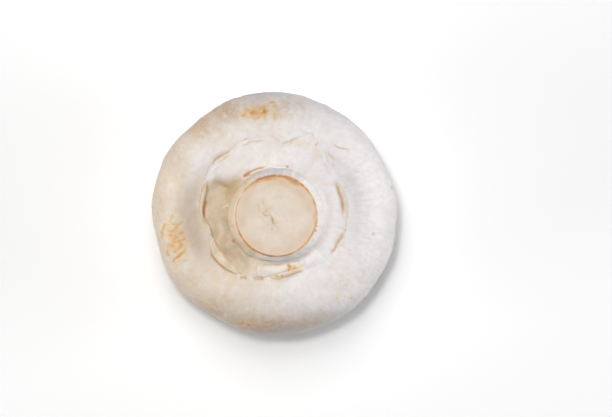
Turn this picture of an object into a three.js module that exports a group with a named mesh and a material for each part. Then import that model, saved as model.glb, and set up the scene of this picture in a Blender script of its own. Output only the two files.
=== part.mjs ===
// Button mushroom (Agaricus bisporus, closed cup), lying on the crown of its cap
// with the trimmed stem pointing up. Millimetres, +Z up.
// The origin is on the resting surface, under the middle of the cap.
// Three pieces: the cap with its rolled margin, the stem, and the torn veil between them.

import * as THREE from "three";
import { mergeVertices } from "three/addons/utils/BufferGeometryUtils.js";

// ---------------------------------------------------------------- driving dimensions

const CAP_RADIUS = 24; // at the equator, the widest level of the cap
const EQUATOR_Z = 15.8;
const CREST_Z = 26.6; // highest level of the rolled margin
const CREST_RADIUS = 17.6;
const REST_RADIUS = 7; // flattened crown that the mushroom rests on

const LIP_Z = 25.6; // level of the margin's inner edge
const LEDGE_Z = 21.8; // flesh under the veil

const STEM_CUT = new THREE.Vector3(0.45, -0.45, 30); // centre of the cut face
const STEM_ROOT = new THREE.Vector3(0.7, 0.15, 18); // centre of the stem's root in the cap
const STEM_CUT_RADIUS = 8.05;
const COLLAR_RADIUS = 9.3; // the stem widens to this where the veil meets it
const COLLAR_Z = 24.4;

const VEIL_Z = 24.9; // level of the veil where it is not sunken
const SINK_ANGLE = 192; // one side of the veil has sunk into a hollow, deepest at this angle
const SINK_SPREAD = 62; // and this wide, either way
const VEIL_SINK = 2.4; // how far the veil has sunk there
const LIP_SINK = 0.8; // how far the margin's inner edge follows it down
const CREST_SHIFT = 1.4; // and how far the crest stands back from it

const GAP = 0.3; // clearance between neighbouring pieces, at their sides
const AROUND = 96; // steps round each piece

// The cap's outline: [lobes round the outline, height in mm, angle of the first lobe].
const OUTLINE_LOBES = [
  [2, 0.24, -30],
  [3, 0.05, -43],
  [5, 0.07, 14],
  [7, 0.09, 2],
];
// How far the margin's crest rises and falls.
const CREST_WAVES = [
  [2, 0.25, 60],
  [3, 0.2, 15],
];
// The torn ring where the margin ends and the veil begins: [angle, radius] round it.
const RING = [
  [0, 14.2],
  [21, 14.6],
  [33, 13.9],
  [51, 15.6],
  [63, 16.3],
  [75, 15.3],
  [85, 14.0],
  [95, 14.9],
  [115, 15.5],
  [126, 14.9],
  [140, 15.6],
  [153, 15.0],
  [171, 14.7],
  [184, 14.2],
  [194, 13.1],
  [205, 13.9],
  [220, 14.6],
  [241, 13.9],
  [262, 13.3],
  [277, 13.3],
  [293, 12.7],
  [307, 13.0],
  [322, 14.0],
  [340, 14.6],
];
const STEM_LOBES = [
  [2, 0.1, 0],
  [3, 0.06, 200],
];

// The flaps of torn veil: [angle of the middle, half spread, width, rise above the lip].
const FLAPS = [
  [172, 20, 1.0, 0.5], // narrow crescent that leans over the hollow
  [218, 22, 1.7, 0.6], // ribbon
  [277, 24, 2.9, 0.3], // broad folded flap
  [10, 18, 0.9, 0.3],
  [334, 13, 1.1, 0.2],
  [106, 13, 0.8, 0.2],
  [133, 11, 0.9, 0.25],
];

// ---------------------------------------------------------------- helpers

const radians = THREE.MathUtils.degToRad;
const lerp = THREE.MathUtils.lerp;

const waves = (lobes, angle) =>
  lobes.reduce((sum, [count, height, first]) => sum + height * Math.cos(count * (angle - radians(first))), 0);

// 1 at the middle angle, falling smoothly to 0 at the spread on either side. Past the flat share
// of 0, that much of it stays at 1.
function bump(angle, middle, spread, flat = 0) {
  const turn = THREE.MathUtils.euclideanModulo(angle - radians(middle) + Math.PI, 2 * Math.PI) - Math.PI;
  return THREE.MathUtils.smoothstep(1 - Math.abs(turn) / radians(spread), 0, 1 - flat);
}

// A smooth closed curve through [angle, value] pairs, the first of them at 0, read at any angle.
function closedCurve(pairs) {
  const at = (n) => {
    const lap = Math.floor(n / pairs.length);
    const [angle, value] = pairs[n - lap * pairs.length];
    return { angle: angle + 360 * lap, value };
  };
  return (angle) => {
    const degrees = THREE.MathUtils.euclideanModulo(THREE.MathUtils.radToDeg(angle), 360);
    const n = pairs.findLastIndex(([start]) => start <= degrees);
    const [before, from, to, after] = [at(n - 1), at(n), at(n + 1), at(n + 2)];
    const span = to.angle - from.angle;
    const t = (degrees - from.angle) / span;
    const slopeFrom = (span * (to.value - before.value)) / (to.angle - before.angle);
    const slopeTo = (span * (after.value - from.value)) / (after.angle - from.angle);
    const curved = slopeFrom * (1 - t) ** 2 * t - slopeTo * t ** 2 * (1 - t);
    return lerp(from.value, to.value, t * t * (3 - 2 * t)) + curved;
  };
}

// Distance from the Z axis to a circle that stands off it, at an angle.
function reach(angle, centre, radius) {
  const towards = new THREE.Vector2(Math.cos(angle), Math.sin(angle));
  const along = centre.dot(towards);
  return along + Math.sqrt(radius * radius - centre.lengthSq() + along * along);
}

// A smooth curve through points, sampled in steps.
const through = (points, steps) =>
  new THREE.SplineCurve(points.map(([r, z]) => new THREE.Vector2(r, z))).getPoints(steps);

const corners = (points) => points.map(([r, z]) => new THREE.Vector2(r, z));

// A lathe whose section changes round the axis: section(angle) is its outline as (r, z) points.
function turned(section) {
  const lathe = new THREE.LatheGeometry(section(0), AROUND);
  const position = lathe.getAttribute("position");
  const count = section(0).length;
  for (let step = 0; step <= AROUND; step++) {
    const angle = (2 * Math.PI * (step % AROUND)) / AROUND;
    section(angle).forEach(({ x: r, y: z }, i) =>
      position.setXYZ(step * count + i, r * Math.cos(angle), r * Math.sin(angle), z),
    );
  }
  lathe.deleteAttribute("normal");
  lathe.deleteAttribute("uv");
  const closed = mergeVertices(lathe, 1e-4);
  closed.computeVertexNormals();
  return closed;
}

// Centre of the stem at a height.
function stemCentre(z) {
  const share = (z - STEM_ROOT.z) / (STEM_CUT.z - STEM_ROOT.z);
  return new THREE.Vector2(lerp(STEM_ROOT.x, STEM_CUT.x, share), lerp(STEM_ROOT.y, STEM_CUT.y, share));
}

const outlineRadius = (angle) => CAP_RADIUS + waves(OUTLINE_LOBES, angle);
const ringRadius = closedCurve(RING);
const sunk = (angle) => bump(angle, SINK_ANGLE, SINK_SPREAD);
const lipZ = (angle) => LIP_Z - LIP_SINK * sunk(angle);

// ---------------------------------------------------------------- cap

// The dome is an ellipse cut flat where it rests. The margin is a superellipse from the
// equator to the crest, and a short curve from there down to the ring.
function capSection(angle) {
  const outer = outlineRadius(angle);
  const crestZ = CREST_Z + waves(CREST_WAVES, angle);
  const crest = CREST_RADIUS + CREST_SHIFT * sunk(angle);
  const ring = ringRadius(angle) + GAP / 2;
  const socket = (z, radius) => reach(angle, stemCentre(z), radius);

  const depth = EQUATOR_Z / Math.sqrt(1 - (REST_RADIUS / outer) ** 2);
  const first = Math.asin(REST_RADIUS / outer);
  const dome = [];
  const domeSteps = 9;
  for (let i = 0; i < domeSteps; i++) {
    const turn = lerp(first, Math.PI / 2, i / domeSteps);
    dome.push([outer * Math.sin(turn), i === 0 ? 0 : EQUATOR_Z - depth * Math.cos(turn)]);
  }

  const margin = [];
  const marginSteps = 9;
  const fullness = 0.94;
  for (let i = 0; i <= marginSteps; i++) {
    const turn = (Math.PI / 2) * (i / marginSteps);
    margin.push([
      lerp(crest, outer, Math.cos(turn) ** fullness),
      lerp(EQUATOR_Z, crestZ, Math.sin(turn) ** fullness),
    ]);
  }
  const inner = through(
    [
      [crest, crestZ],
      [lerp(ring, crest, 0.45), lerp(lipZ(angle), crestZ, 0.75)],
      [ring, lipZ(angle)],
      [ring + 0.1, lipZ(angle) - 0.9],
    ],
    7,
  ).slice(1);
  return [
    ...corners([[0, 0]]),
    ...corners(dome),
    ...corners(margin),
    ...inner,
    ...corners([
      [ring, LEDGE_Z],
      [socket(LEDGE_Z, 9.2), LEDGE_Z],
      [socket(STEM_ROOT.z, 8.6), STEM_ROOT.z],
      [0, STEM_ROOT.z],
    ]),
  ];
}

// ---------------------------------------------------------------- stem

// [radius, z] up the stem's side, from the root to the edge of the cut.
const STEM_SIDE = [
  [8.2, STEM_ROOT.z],
  [8.6, LEDGE_Z],
  [COLLAR_RADIUS - 0.1, COLLAR_Z - 1],
  [COLLAR_RADIUS, COLLAR_Z],
  [COLLAR_RADIUS - 0.15, COLLAR_Z + 1],
  [8.7, 27.0],
  [8.35, 28.6],
  [STEM_CUT_RADIUS + 0.1, STEM_CUT.z - 0.5],
  [STEM_CUT_RADIUS, STEM_CUT.z - 0.15],
  [STEM_CUT_RADIUS - 0.2, STEM_CUT.z],
];

function stemSection(angle) {
  const side = STEM_SIDE.map(([radius, z]) => [reach(angle, stemCentre(z), radius) + waves(STEM_LOBES, angle), z]);
  return corners([[0, STEM_ROOT.z], ...side, [0, STEM_CUT.z]]);
}

// ---------------------------------------------------------------- veil

// A membrane from the ring to the stem's collar. It has sunk on one side, and its torn edge
// stands up in flaps along the ring.
function veilSection(angle) {
  const outer = ringRadius(angle) - GAP / 2;
  const inner = reach(angle, stemCentre(COLLAR_Z), COLLAR_RADIUS + GAP) + waves(STEM_LOBES, angle);
  const foot = reach(angle, stemCentre(LEDGE_Z), 9.6);
  const sunken = VEIL_Z - VEIL_SINK * sunk(angle);
  let width = 0.5;
  let edgeZ = lipZ(angle) - 0.1;
  for (const [middle, spread, flapWidth, rise] of FLAPS) {
    const share = bump(angle, middle, spread, 0.5);
    width = lerp(width, flapWidth, share);
    edgeZ += rise * share;
  }
  const floor = lerp(inner, outer - width, 0.5);
  const flapFoot = outer - width - 0.35;
  return corners([
    [foot, LEDGE_Z],
    [outer, LEDGE_Z],
    [outer, lipZ(angle) - 0.6],
    [outer - 0.1, edgeZ - 0.15],
    [outer - 0.3 * width, edgeZ],
    [outer - 0.75 * width, edgeZ - 0.1],
    [outer - width, edgeZ - 0.35],
    [flapFoot, lerp(sunken, edgeZ, 0.3)],
    [lerp(floor, flapFoot, 0.55), sunken + 0.05],
    [floor, sunken],
    [lerp(inner, floor, 0.4), lerp(sunken, VEIL_Z, 0.1)],
    [inner + 0.1, lerp(sunken, VEIL_Z, 0.35)],
    [inner, lerp(sunken, VEIL_Z, 0.2) - 0.6],
    [foot, LEDGE_Z],
  ]);
}

// ---------------------------------------------------------------- assembly

const skin = new THREE.MeshStandardMaterial({ color: 0xe9e1da, roughness: 0.75, metalness: 0 });
const flesh = new THREE.MeshStandardMaterial({ color: 0xe2d2be, roughness: 0.7, metalness: 0 });
const membrane = new THREE.MeshStandardMaterial({ color: 0xebe5de, roughness: 0.8, metalness: 0 });

function piece(name, section, material) {
  const mesh = new THREE.Mesh(turned(section), material);
  mesh.name = name;
  return mesh;
}

const mushroom = new THREE.Group();
mushroom.name = "button_mushroom";
mushroom.add(
  piece("cap", capSection, skin),
  piece("stem", stemSection, flesh),
  piece("veil", veilSection, membrane),
);

export default mushroom;
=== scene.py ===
"""A fresh button mushroom, lying on the crown of its cap with the trimmed stem up.

Shapes are worked out in millimetres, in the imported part's frame: +Z up, the origin on the resting
surface under the middle of the cap. They become metres when a mesh is made. A direction that is
written out is in degrees: 0 is +X, the right of the photo's view, and 90 is +Y, its top.
"""

from math import cos, pi, radians, sin

import bpy
import numpy as np
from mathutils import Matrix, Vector


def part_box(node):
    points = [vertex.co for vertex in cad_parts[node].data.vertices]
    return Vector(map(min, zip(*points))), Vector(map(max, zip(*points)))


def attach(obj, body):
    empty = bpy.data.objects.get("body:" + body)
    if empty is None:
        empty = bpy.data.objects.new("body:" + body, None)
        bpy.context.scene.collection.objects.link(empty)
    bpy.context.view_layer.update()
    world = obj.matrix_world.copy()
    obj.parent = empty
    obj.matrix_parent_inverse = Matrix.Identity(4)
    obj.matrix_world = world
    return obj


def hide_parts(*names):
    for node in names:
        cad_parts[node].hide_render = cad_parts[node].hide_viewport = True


MM = 0.001  # metres in a millimetre

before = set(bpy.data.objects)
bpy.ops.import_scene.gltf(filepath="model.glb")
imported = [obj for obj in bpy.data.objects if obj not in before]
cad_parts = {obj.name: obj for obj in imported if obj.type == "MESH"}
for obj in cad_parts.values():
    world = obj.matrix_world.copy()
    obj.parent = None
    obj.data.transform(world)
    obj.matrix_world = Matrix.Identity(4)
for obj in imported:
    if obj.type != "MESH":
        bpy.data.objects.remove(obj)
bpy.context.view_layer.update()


def box(node):
    """Lowest and highest corner of a CAD node, in millimetres."""
    return np.array(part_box(node)) / MM


# -------- dimensions, from the frame

cap_low, cap_high = box("cap")
stem_low, stem_high = box("stem")
veil_low = box("veil")[0]

CAP_RADIUS = (cap_high - cap_low)[:2].mean() / 2  # at the equator
CREST_Z = cap_high[2] - 0.4  # mean height of the rolled margin
CREST_RADIUS = 0.735 * CAP_RADIUS
EQUATOR_Z = 0.594 * CREST_Z
REST_RADIUS = 0.29 * CAP_RADIUS  # the flat that the crown rests on

LEDGE_Z = veil_low[2]  # what the veil lies on
LIP_Z = CREST_Z - 1.0  # inner edge of the margin
LIP_SINK = 0.8  # how far that edge follows the hollow down
FLOOR_Z = LEDGE_Z + 1.5  # floor of the hollow

COLLAR_RADIUS = (stem_high - stem_low)[:2].mean() / 2  # the stem at its widest
CUT_RADIUS = COLLAR_RADIUS - 1.24
CUT_Z = stem_high[2]
CUT_CENTRE = np.array([0.45, -0.45])
FOOT_CENTRE = np.array([0.6, -0.15])  # the stem below its cut

AROUND = 720  # steps round the cap and the veil
ANGLE = np.arange(AROUND) / AROUND * 2 * pi

# Waves round the mushroom: (how many, height, angle of the first crest).
OUTLINE_LOBES = [(2, 0.24, -30), (3, 0.05, -43), (5, 0.07, 14), (7, 0.09, 2)]
CREST_WAVES = [(2, 0.25, 60), (3, 0.2, 15)]
STEM_LOBES = [(2, 0.14, 0), (3, 0.05, 200)]
CUT_LOBES = [(2, 0.12, 0)]  # as well as those, towards the cut

# The torn ring where the margin ends and the veil begins: (angle, radius) round it.
RING = [
    (0, 14.2), (21, 14.6), (33, 13.9), (51, 15.6), (63, 16.3), (75, 15.3), (85, 14), (95, 14.9),
    (115, 15.5), (126, 14.9), (140, 15.6), (153, 15), (171, 14.7), (184, 14.2), (194, 13.1),
    (205, 13.9), (220, 14.6), (241, 13.9), (262, 13.3), (277, 13.3), (293, 12.7), (307, 13),
    (322, 14), (340, 14.6),
]


# -------- numbers and curves


def unit(value):
    """The value, kept from 0 to 1."""
    return np.clip(value, 0, 1)


def smooth(value, low, high):
    """0 at low and 1 at high, with a smooth step between them. low may be the larger."""
    share = unit((value - low) / (high - low))
    return share * share * (3 - 2 * share)


def mix(a, b, share):
    """a where the share is 0, and b where it is 1."""
    return a + (b - a) * share


def waves(lobes, angle):
    """The height of waves round the mushroom, at an angle."""
    return sum(height * np.cos(count * (angle - radians(at))) for count, height, at in lobes)


def near(angle, middle, spread, flat=0.0):
    """1 at the middle angle, falling to 0 at the spread on either side, in degrees."""
    apart = np.abs((angle - radians(middle) + pi) % (2 * pi) - pi)
    return smooth(1 - apart / radians(spread), 0, 1 - flat)


def hill(value, middle, width):
    """1 at the middle, a third at the width on either side, and soon nothing."""
    return np.exp(-(((value - middle) / width) ** 2))


def axes(points):
    """The x, y and z of points. A change to one of them changes the points."""
    return np.moveaxis(points, -1, 0)


def patch(x, y, at_x, at_y, half_width, half_height):
    """1 at the middle of an oval patch, fading outwards."""
    return hill(x, at_x, half_width) * hill(y, at_y, half_height)


def dot(points, wobble, at_x, at_y, radius):
    """A round spot on a surface, about the highest of its points over its middle."""
    x, y, z = axes(points)
    middle = points.reshape(-1, 3)[(np.hypot(x - at_x, y - at_y) - 0.02 * z).argmin()]
    away = np.linalg.norm(points - middle, axis=-1) * (1 + 0.12 * wobble)
    return np.exp(-((away / radius) ** 2))


def arcs(r, table):
    """A sum of soft arcs: (strength, radius, half width, and what near() takes)."""
    return sum(
        strength * hill(r, radius, width) * near(ANGLE, *where)
        for strength, radius, width, *where in table
    )


def closed_curve(pairs):
    """A smooth closed curve through (angle, value) pairs, read at any angle in radians."""
    angles, values = np.array(pairs, float).T
    angles = np.concatenate([angles[-2:] - 360, angles, angles[:3] + 360])
    values = np.concatenate([values[-2:], values, values[:3]])

    def read(angle):
        degrees = np.degrees(angle) % 360
        n = np.searchsorted(angles, degrees, side="right") - 1
        span = angles[n + 1] - angles[n]
        t = (degrees - angles[n]) / span
        slope_from = span * (values[n + 1] - values[n - 1]) / (angles[n + 1] - angles[n - 1])
        slope_to = span * (values[n + 2] - values[n]) / (angles[n + 2] - angles[n])
        curved = slope_from * (1 - t) ** 2 * t - slope_to * t**2 * (1 - t)
        return mix(values[n], values[n + 1], t * t * (3 - 2 * t)) + curved

    return read


def reach(angle, centre, radius):
    """Distance from the Z axis to a circle that stands off it, at an angle."""
    along = centre[0] * np.cos(angle) + centre[1] * np.sin(angle)
    return along + np.sqrt(radius**2 - centre @ centre + along**2)


def spline(points, steps=8):
    """A smooth line through points, with that many steps from each to the next."""
    points = np.array(points, float)
    ends = np.concatenate([2 * points[:1] - points[1:2], points, 2 * points[-1:] - points[-2:-1]])
    t = np.linspace(0, 1, steps, endpoint=False)[:, None]
    parts = []
    for a, b, c, d in zip(ends, ends[1:], ends[2:], ends[3:]):
        bend = (2 * a - 5 * b + 4 * c - d) * t**2 + (3 * b - a - 3 * c + d) * t**3
        parts.append(b + 0.5 * ((c - a) * t + bend))
    return np.concatenate([*parts, points[-1:]])


def ripples(points, size, seed):
    """Smooth random waves about 0, of a size in millimetres, the same for the same seed."""
    chance = np.random.default_rng(seed)
    total = np.zeros(points.shape[:-1])
    count = 22
    for _ in range(count):
        way = chance.normal(size=3)
        way *= chance.uniform(0.55, 1.45) * 2 * pi / (size * np.linalg.norm(way))
        total += np.cos(points @ way + chance.uniform(0, 2 * pi))
    return total * np.sqrt(2 / count)


def stroke(points, width, x, y, end=0.25):
    """How far a line covers each place: 1 on it, fading over its half width and at its ends."""
    line = spline(points)
    low, high = line.min(0) - 3 * width, line.max(0) + 3 * width
    close = (x > low[0]) & (x < high[0]) & (y > low[1]) & (y < high[1])
    px, py = x[close], y[close]
    lengths = np.linalg.norm(np.diff(line, axis=0), axis=1)
    starts = np.concatenate([[0], np.cumsum(lengths)])
    distance = np.full(px.shape, np.inf)
    share = np.zeros(px.shape)
    for (ax, ay), (bx, by), length, start in zip(line, line[1:], lengths, starts):
        ux, uy = (bx - ax) / length, (by - ay) / length
        along = np.clip((px - ax) * ux + (py - ay) * uy, 0, length)
        away = np.hypot(px - ax - ux * along, py - ay - uy * along)
        share = np.where(away < distance, (start + along) / starts[-1], share)
        distance = np.minimum(away, distance)
    cover = np.zeros(x.shape)
    ends = smooth(share, -0.05, end) * smooth(share, 1.05, 1 - end)
    cover[close] = ends * np.exp(-((distance / width) ** 2))
    return cover


# -------- tears, ridges and stains

# Tears in the membrane: (points, half width, depth, how brown). The brown is the torn edge's own
# browning, and where a tear runs under a flap or beside the stem it is also painted shade of the
# crevice.
TEARS = [
    # left: under the narrow flap
    ([(-12.6, 6.2), (-12.8, 5), (-13.2, 3.4), (-13.5, 1.6), (-13.6, 0.2),
      (-13.2, -1.3)], 0.45, 0.2, 0.5),
    ([(-13.2, 3.2), (-13.5, 1.8), (-13.7, 0.6), (-13.7, -0.4), (-13.3, -1.4)], 0.42, 0.1, 0.92),
    # lower left: either side of the ribbon
    ([(-12, -4.6), (-11.3, -5.7), (-10.5, -6.6), (-9.9, -7.7), (-9, -8.8), (-8, -9.9),
      (-7.4, -10.9)], 0.34, 0.2, 0.64),
    ([(-12.8, -6.4), (-12.3, -8), (-11.2, -9.4), (-10.1, -10.45), (-8.9, -11.3),
      (-7, -12.2)], 0.4, 0.13, 0.6),
    # bottom: left of the folded flap and under it
    ([(-7.2, -12.2), (-6.2, -12.4), (-5, -12.6)], 0.42, 0.2, 0.55),
    ([(-4.4, -12.65), (-3, -12.7), (-1.6, -12.9)], 0.42, 0.2, 0.6),
    ([(-0.6, -13.1), (0.5, -13.1), (1.7, -12.7), (2.9, -12.3), (4.2, -11.85),
      (5.6, -11.35)], 0.3, 0.3, 0.24),
    ([(-3.1, -9.9), (-3.3, -11), (-3.5, -12.3)], 0.24, 0.25, 0.3),
    ([(5.75, -9.1), (5.8, -9.9), (5.7, -10.6)], 0.2, 0.1, 0.25),
    # right: a soft crevice, and a shallow tear below it
    ([(11.8, 6.6), (12.4, 5.2), (12.9, 3.8), (13.3, 2.4), (13.5, 0.9),
      (13.6, -0.9)], 0.38, 0.28, 0.64),
    ([(13.8, -3.2), (13.1, -4.7), (12.3, -6), (11.5, -7.3), (10.9, -8.6)], 0.5, 0.2, 0.52),
    ([(14, -4.4), (13.6, -5.6), (12.8, -6.8)], 0.3, 0.12, 0.22),
    ([(13.9, 5.6), (14.5, 4.4), (14.9, 3)], 0.3, 0.15, 0.15),
    # upper right, on the margin
    ([(11.5, 14.1), (11.9, 13.3), (13.2, 12.7), (15.1, 12.4)], 0.25, 0.15, 0.52),
    ([(7.2, 15.7), (7.9, 15.1)], 0.22, 0.12, 0.35),
    ([(10.6, 12), (11, 11.2), (11.3, 10.4)], 0.26, 0.15, 0.3),
    ([(15.4, 8.3), (16.2, 8.2), (17, 8.2)], 0.22, 0.06, 0.4),
    ([(10.1, 12.2), (10.9, 10.9), (11.5, 9.4), (11.6, 8)], 0.4, 0.1, 0.24),
    # top
    ([(1, 13.6), (1.9, 13.65), (3.2, 14), (4.4, 14.55), (5.6, 15.1)], 0.22, 0.3, 0.42),
    ([(-1.4, 15), (-0.3, 14.8), (0.6, 14.3), (1.1, 13.7)], 0.26, 0.2, 0.1),
    ([(5.9, 15.3), (6.7, 15.5), (7.6, 15.4)], 0.22, 0.1, 0.2),
    ([(-6.8, 13.75), (-5.1, 14.4), (-3.4, 14.8), (-1.6, 14.85)], 0.17, 0.15, 0.38),
    ([(-7.1, 13.2), (-6.1, 13.45), (-4.7, 14), (-2.9, 14.3), (-1.5, 14.6)], 0.18, 0.25, 0.42),
    ([(-8.2, 12.2), (-7.6, 12.65), (-6.9, 13)], 0.2, 0.2, 0.3),
    ([(-12.3, 8.7), (-11.9, 9.7), (-11.2, 10.6), (-10.2, 11.3), (-8, 12.2)], 0.3, 0.2, 0.48),
    ([(-11.4, 9.4), (-10.6, 10.3), (-9.6, 10.95), (-8.2, 11.5)], 0.3, 0.12, 0.42),
    ([(-12.1, 8.5), (-12, 7.9), (-12.3, 7.1)], 0.24, 0.2, 0.2),
    # between the veil and the stem
    ([(-6, 7.1), (-5.2, 7.65), (-4.3, 8.15), (-3.3, 8.6), (-1.3, 9)], 0.3, 0.4, 0.66),
    ([(-6.2, 7.1), (-5.3, 7.5), (-4.4, 7.95)], 0.52, 0.2, 0.82),
    ([(-1.5, 8.95), (0.5, 9.15), (2.4, 9.05), (4.6, 8.3)], 0.26, 0.12, 0.1),
]

# Ridges along the membrane: (points, half width, height).
RIDGES = [
    ([(9.1, 12.4), (9.7, 11.2), (10.3, 9.8), (10.8, 8.4), (10.9, 7.2)], 0.32, 0.5),
    ([(12.5, 6.2), (13.5, 4.8), (14.1, 3.1), (14.4, 1.2), (14.2, -0.7)], 0.4, 0.25),
    ([(14.2, -0.7), (14, -2.2), (14.1, -3.4), (13.9, -5.2), (13.2, -6.6)], 0.4, 0.3),
    ([(-12.2, 7.4), (-11.6, 8.6), (-11, 9.5), (-9.8, 10.6), (-8.3, 11.5)], 0.32, 0.3),
    ([(-13.1, 7.8), (-12.8, 9.6), (-11.5, 11.4), (-8.8, 12.9)], 0.5, 0.2),
    ([(-7, 12.7), (-4.6, 13.4), (-1.6, 14)], 0.4, 0.15),
    ([(1.4, 14.3), (3.2, 14.7), (5, 15.5)], 0.4, 0.2),
]

# A pale fibre across the hollow: (points, half width, height).
FIBRE = ([(-10.3, 1.1), (-9.6, 1.3), (-8.9, 1.5), (-8.2, 1.5)], 0.22, 0.2)

# Rounded swellings: (*oval, height), where an oval is x, y, half width, half height.
SWELLINGS = [
    (7.9, -9.2, 1.5, 1.3, 0.55), (-4.6, -11.5, 0.8, 0.6, 0.25), (-6.9, -11.8, 0.4, 0.4, 0.3),
    (-0.9, -13, 0.5, 0.4, 0.3), (9.6, -4.2, 2.2, 2.8, 0.2),
]

# Spots of brown: (x, y, radius, how brown).
SPOTS = [
    (2.6, 9.15, 0.4, 0.7), (4.4, 8.2, 0.3, 0.3), (5.6, 8.1, 0.3, 0.25), (-8, -5.4, 0.65, 0.85),
    (-10.6, -9.8, 0.5, 0.4), (-5.5, -8.5, 0.5, 0.42), (-9.6, 2.2, 0.6, 0.35),
    (-8.9, -4.4, 0.5, 0.3), (8.2, 13.5, 0.35, 0.5), (7.8, 14.7, 0.35, 0.35),
    (11.6, 10.8, 0.5, 0.35), (10.7, 11.4, 0.45, 0.3), (9.6, 4.4, 0.6, 0.1),
    (19.5, -3.9, 0.45, 0.55), (16.8, -6, 0.4, 0.2), (3.4, 19.4, 0.5, 0.3),
]


def relief(points):
    """What tears and ridges add to the height of points, and how brown tears and spots are; in
    crevices that brown is partly painted shade.
    """
    wobble = ripples(points, 2.2, 11)
    x, y, _ = axes(points)
    x = x + 0.07 * wobble + 0.02 * ripples(points, 0.7, 12)
    y = y - 0.07 * wobble
    height = np.zeros(x.shape)
    torn = np.zeros(x.shape)
    for line, width, depth, stain in TEARS:
        cover = stroke(line, width, x, y)
        height -= depth * cover
        torn = np.maximum(torn, stain * cover)
    for line, width, rise in RIDGES:
        height += rise * stroke(line, width, x, y)
    for *oval, rise in SWELLINGS:
        height += rise * patch(x, y, *oval)
    for *spot, stain in SPOTS:
        torn = np.maximum(torn, stain * dot(points, wobble, *spot))
    return height, torn


def creaminess(points):
    """How cream the skin is: the left side is creamier than the right."""
    x, y, _ = axes(points)
    across = x + 0.2 * y + 2.5 * ripples(points, 9, 33)
    mottled = 0.85 + 0.15 * ripples(points, 2.2, 34)
    return smooth(across, 10, -18) * mottled * (1 - 0.7 * patch(x, y, -13.5, 9.5, 4.5, 5))


# -------- shared heights

ring_radius = closed_curve(RING)


def hollow(angle):
    """1 where the veil has sunk deepest, on the left, and 0 where it has not."""
    return near(angle, 192, 62, 0.3)


def lip_z(angle):
    """Height of the torn ring."""
    sunk = LIP_Z - LIP_SINK * hollow(angle)
    return sunk + 0.25 * near(angle, 100, 50) + 0.5 * near(angle, 54, 38)


# -------- meshes


def closed_faces(rows, steps, loop):
    """Faces of a grid closed round its steps. Its rows loop, or else a point closes each end."""
    row, step = np.meshgrid(np.arange(rows if loop else rows - 1), np.arange(steps), indexing="ij")
    after, above = (step + 1) % steps, (row + 1) % rows
    corners = [(row, step), (row, after), (above, after), (above, step)]
    quads = np.stack([a * steps + b for a, b in corners], -1).reshape(-1, 4).tolist()
    if loop:
        return quads
    turn = np.arange(steps)
    after = (turn + 1) % steps
    first = np.stack([after, turn, np.full(steps, rows * steps)], -1)
    last = (rows - 1) * steps + np.stack([turn, after, np.full(steps, steps + 1)], -1)
    return quads + first.tolist() + last.tolist()


def with_ends(values, loop):
    """A grid's values as a list, with those of the points that close it, unless it is a loop."""
    flat = values.reshape(-1, *values.shape[2:])
    return flat if loop else np.concatenate([flat, values[:1].mean(1), values[-1:].mean(1)])


def add_mark(mesh, name, values):
    """Gives each point of a mesh a number from 0 to 1, or any three, for its material."""
    if values.ndim == 1:
        values, kind, field = unit(values), "FLOAT", "value"
    else:
        kind, field = "FLOAT_VECTOR", "vector"
    mesh.attributes.new(name, kind, "POINT").data.foreach_set(field, values.reshape(-1))


def add_piece(name, grids, marks, loop=False, sharp_row=None):
    """A piece of closed grids of points, grid[row, step], in millimetres. A mark has a number, or
    three, for each point of each grid. The edges along a sharp row are not shaded as smooth."""
    points, faces = [], []
    start = 0
    for grid in grids:
        rows, steps, _ = grid.shape
        faces += [[start + corner for corner in face] for face in closed_faces(rows, steps, loop)]
        points.append(with_ends(grid, loop))
        start += len(points[-1])
    mesh = bpy.data.meshes.new(name)
    mesh.from_pydata(np.concatenate(points) * MM, [], faces)
    mesh.polygons.foreach_set("use_smooth", np.ones(len(mesh.polygons), bool))
    if sharp_row is not None:
        ends = np.empty(2 * len(mesh.edges), int)
        mesh.edges.foreach_get("vertices", ends)
        on_row = (ends.reshape(-1, 2) // steps == sharp_row).all(1)
        mesh.attributes.new("sharp_edge", "BOOLEAN", "EDGE").data.foreach_set("value", on_row)
    for mark, values in marks.items():
        add_mark(mesh, mark, np.concatenate([with_ends(value, loop) for value in values]))
    return place(name, mesh)


def place(name, thing):
    """Puts a mesh, a lamp or a camera in the scene."""
    made = bpy.data.objects.new(name, thing)
    bpy.context.collection.objects.link(made)
    return made


def turned(radii, heights, angle):
    """Rings of points from a radius and a height for each row and step."""
    places = np.broadcast_arrays(radii * np.cos(angle), radii * np.sin(angle), heights)
    return np.stack(places, -1)


def grain(radius, angle, along, stretch):
    """Where fibres that run along the rows read their noise: on a cylinder on which they are
    shorter, so that it comes out in streaks."""
    return turned(radius, along / stretch, angle)


def one_long(ways):
    """Directions, each made one long."""
    return ways / np.maximum(np.linalg.norm(ways, axis=-1, keepdims=True), 1e-9)


def normals(rings):
    """Outward directions of a turned surface whose rows run from the crown to the middle."""
    around = np.roll(rings, -1, 1) - np.roll(rings, 1, 1)
    return one_long(np.cross(around, np.gradient(rings, axis=0)))


# -------- cap

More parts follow.
